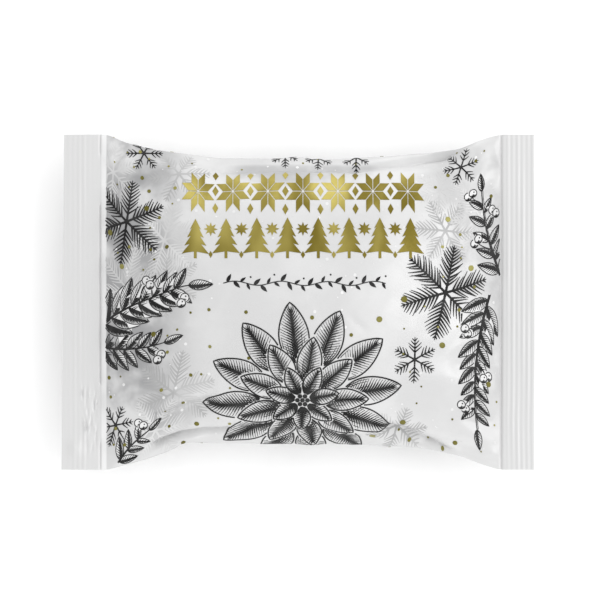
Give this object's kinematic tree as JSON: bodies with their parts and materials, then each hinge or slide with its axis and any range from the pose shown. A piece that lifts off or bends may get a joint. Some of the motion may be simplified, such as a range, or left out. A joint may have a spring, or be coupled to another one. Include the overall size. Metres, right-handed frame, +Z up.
{
  "type": "flow-wrapped cookie packet",
  "caption": "Filled pillow packet of satin film for a folded cookie, with crimped end seals and a folded back seam, lying on its back",
  "frame": {"origin": "centre of the packet's outline, on the surface that it rests on", "axes": "+X along the tube of film, from the wider crimped seal to the narrower one; +Y to the far long edge, the top of the print; +Z up, out of the printed front"},
  "size_m": [0.1002, 0.071, 0.0283],
  "materials": {
    "film": "satin silvery white film"
  },
  "bodies": {
    "root": {"packet": "film"}
  },
  "joints": []
}
